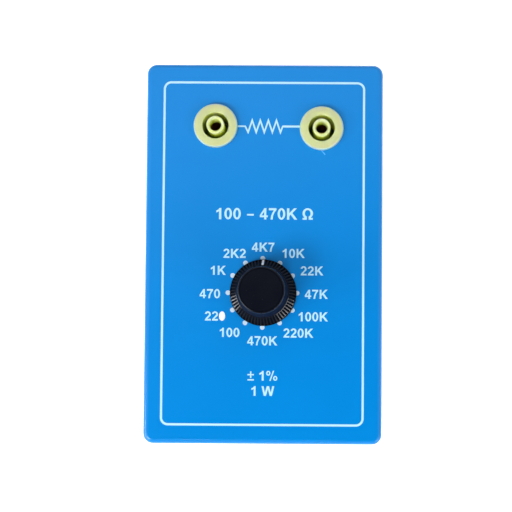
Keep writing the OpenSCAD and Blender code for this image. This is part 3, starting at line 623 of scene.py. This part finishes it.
def ribbon(points, width):
    """The outline of a line of even width with mitred bends."""
    left, right = [], []
    for i, point in enumerate(points):
        here = Vector(point)
        before = (here - Vector(points[i - 1])).normalized() if i > 0 else None
        after = (Vector(points[i + 1]) - here).normalized() if i < len(points) - 1 else None
        along = ((before or after) + (after or before)).normalized()
        side = Vector((-along.y, along.x))
        next_side = Vector((-(after or before).y, (after or before).x))
        reach = width / 2 / abs(side.dot(next_side))
        left.append(tuple(here + side * reach))
        right.append(tuple(here - side * reach))
    return left + right[::-1]


border_w, border_h, border_r, border_line = 68.6, 117.4, 2.3, 0.75
printed("printed_border", [
    round_frame(border_w + border_line, border_h + border_line, border_r + border_line / 2),
    round_frame(border_w - border_line, border_h - border_line, border_r - border_line / 2)],
    line_ink)

symbol_y, symbol_start, symbol_end = 43.6, -9.3, 12.5
zigzag_start, first_tooth, zigzag_end, bar_start = -6.5, -5.5, 6.4, 6.6
teeth, tooth_pitch, tooth_height = 5, 2.78, 2.05
thin_line, broad_line = 0.55, 0.72
zigzag = [(symbol_start, symbol_y), (zigzag_start, symbol_y)]
for tooth in range(teeth):
    tooth_x = first_tooth + tooth * tooth_pitch
    zigzag.append((tooth_x, symbol_y - tooth_height))
    if tooth < teeth - 1:
        zigzag.append((tooth_x + tooth_pitch / 2, symbol_y + tooth_height))
zigzag += [(zigzag_end, symbol_y), (bar_start, symbol_y)]
printed("printed_resistor_symbol", [
    ribbon(zigzag, thin_line),
    ribbon([(bar_start, symbol_y), (symbol_end, symbol_y)], broad_line)], line_ink)

dial_print = Vector((-0.08, -13.74))
dot_circle, dot_r = 11.8, 0.82
top_way = 5
for way, label in enumerate(resistor_values):
    turn = math.radians(90 + (top_way - way) * 360 / ways)
    middle = dial_print + dot_circle * Vector((math.cos(turn), math.sin(turn)))
    printed("printed_dot_" + label, [oval(middle.x, middle.y, dot_r, dot_r)], dot_ink)

# Lettering: plain bold figures drawn for this dial, one unit high, each with its width. The last
# nought of the second value is filled in, as the real print is: o stands for it. For the signs, +
# stands for plus or minus, - for a dash and R for ohms.

figures = {
    "0": (0.776, [oval(0.388, 0.5, 0.335, 0.515), oval(0.388, 0.5, 0.14, 0.345)]),
    "o": (0.776, [oval(0.388, 0.5, 0.335, 0.515)]),
    "1": (0.776, [[(0.36, 0), (0.56, 0), (0.56, 1), (0.40, 1), (0.31, 0.87), (0.12, 0.77),
                   (0.12, 0.60), (0.25, 0.64), (0.36, 0.71)]]),
    "2": (0.776, [[(0.05, 0), (0.71, 0), (0.71, 0.18), (0.34, 0.18), (0.42, 0.29)]
                  + arc(0.385, 0.69, 0.325, 0.325, -32, 172, 16)
                  + arc(0.385, 0.69, 0.13, 0.155, 168, -25, 12)
                  + [(0.40, 0.51), (0.17, 0.26), (0.09, 0.14)]]),
    "4": (0.776, [[(0.42, 0), (0.61, 0), (0.61, 0.20), (0.74, 0.20), (0.74, 0.36), (0.61, 0.36),
                   (0.61, 1), (0.44, 1), (0.03, 0.37), (0.03, 0.20), (0.42, 0.20)],
                  [(0.42, 0.36), (0.42, 0.70), (0.20, 0.36)]]),
    "7": (0.776, [[(0.06, 1), (0.72, 1), (0.72, 0.86), (0.55, 0.62), (0.44, 0.34), (0.39, 0),
                   (0.20, 0), (0.26, 0.34), (0.37, 0.61), (0.49, 0.82), (0.06, 0.82)]]),
    "K": (1.008, [[(0.10, 0), (0.305, 0), (0.305, 0.31), (0.425, 0.435), (0.74, 0), (1.0, 0),
                   (0.57, 0.585), (0.97, 1), (0.70, 1), (0.305, 0.57), (0.305, 1), (0.10, 1)]]),
    "W": (1.32, [[(0.24, 0), (0.47, 0), (0.66, 0.70), (0.85, 0), (1.08, 0), (1.32, 1), (1.11, 1),
                  (0.965, 0.33), (0.78, 1), (0.54, 1), (0.355, 0.33), (0.21, 1), (0.0, 1)]]),
    "%": (1.24, [oval(0.26, 0.76, 0.22, 0.25), oval(0.26, 0.76, 0.085, 0.13),
                 oval(0.98, 0.24, 0.22, 0.25), oval(0.98, 0.24, 0.085, 0.13),
                 [(0.37, -0.02), (0.51, -0.02), (0.87, 1.02), (0.73, 1.02)]]),
    "+": (0.78, [[(0.32, 0.25), (0.46, 0.25), (0.46, 0.53), (0.72, 0.53), (0.72, 0.67),
                  (0.46, 0.67), (0.46, 0.95), (0.32, 0.95), (0.32, 0.67), (0.06, 0.67),
                  (0.06, 0.53), (0.32, 0.53)],
                 [(0.06, 0), (0.72, 0), (0.72, 0.14), (0.06, 0.14)]]),
    "-": (0.80, [[(0.10, 0.34), (0.70, 0.34), (0.70, 0.49), (0.10, 0.49)]]),
    "R": (1.04, [[(0.07, 0), (0.44, 0), (0.44, 0.20)] + arc(0.52, 0.56, 0.25, 0.30, 252, -72, 20)
                 + [(0.60, 0.20), (0.60, 0), (0.97, 0), (0.97, 0.17), (0.80, 0.17)]
                 + arc(0.52, 0.56, 0.46, 0.46, -48, 228, 28) + [(0.24, 0.17), (0.07, 0.17)]]),
    " ": (0.39, []),
}


def word(text, cap, x, y):
    """The outlines of a line of figures, centred on a point."""
    start = x - cap * sum(figures[letter][0] for letter in text) / 2
    outlines = []
    for letter in text:
        width, loops = figures[letter]
        outlines += [[(start + cap * px, y + cap * (py - 0.5)) for px, py in loop]
                     for loop in loops]
        start += cap * width
    return outlines


value_cap = 3.12
value_places = {
    "100": ("100", -11.28, -27.3), "220": ("22o", -16.25, -21.75),
    "470": ("470", -18.04, -14.1), "1k": ("1K", -15.43, -6.1),
    "2k2": ("2K2", -9.74, -0.25), "4k7": ("4K7", 0.06, 1.95),
    "10k": ("10K", 10.29, -0.14), "22k": ("22K", 16.7, -6.1),
    "47k": ("47K", 18.27, -14.1), "100k": ("100K", 17.15, -21.8),
    "220k": ("220K", 12.2, -27.4), "470k": ("470K", -0.06, -30.1)}
for label, (text, x, y) in value_places.items():
    figure_outlines = word(text, value_cap, x, y)
    if text.endswith("o"):
        printed("printed_blot_" + label, [figure_outlines.pop()], blot_ink)
    printed("printed_value_" + label, figure_outlines, line_ink)
title_cap, note_cap = 3.9, 3.3
printed("printed_range", word("100 - 470K R", title_cap, 0.3, 13.4), line_ink)
printed("printed_tolerance", word("+ 1%", note_cap, 0.1, -42.0), line_ink)
printed("printed_power", word("1 W", note_cap, 0.1, -47.2), line_ink)

# Scuff: a short stroke below the right socket, where something has scraped the blue plastic.
# The scraped plastic has whitened and lost its sheen.

whitened, tree, shader, place = start_finish("scuffed_abs")
pale, _ = mottle(tree, place, 0.2, 3, "#35a8ee", "#63c4ff")
tree.links.new(pale, shader.inputs["Base Color"])
shader.inputs["Roughness"].default_value = 0.6
printed("scuff_mark", [ribbon([(19.8, 35.35), (21.05, 33.9)], 0.3)], whitened)
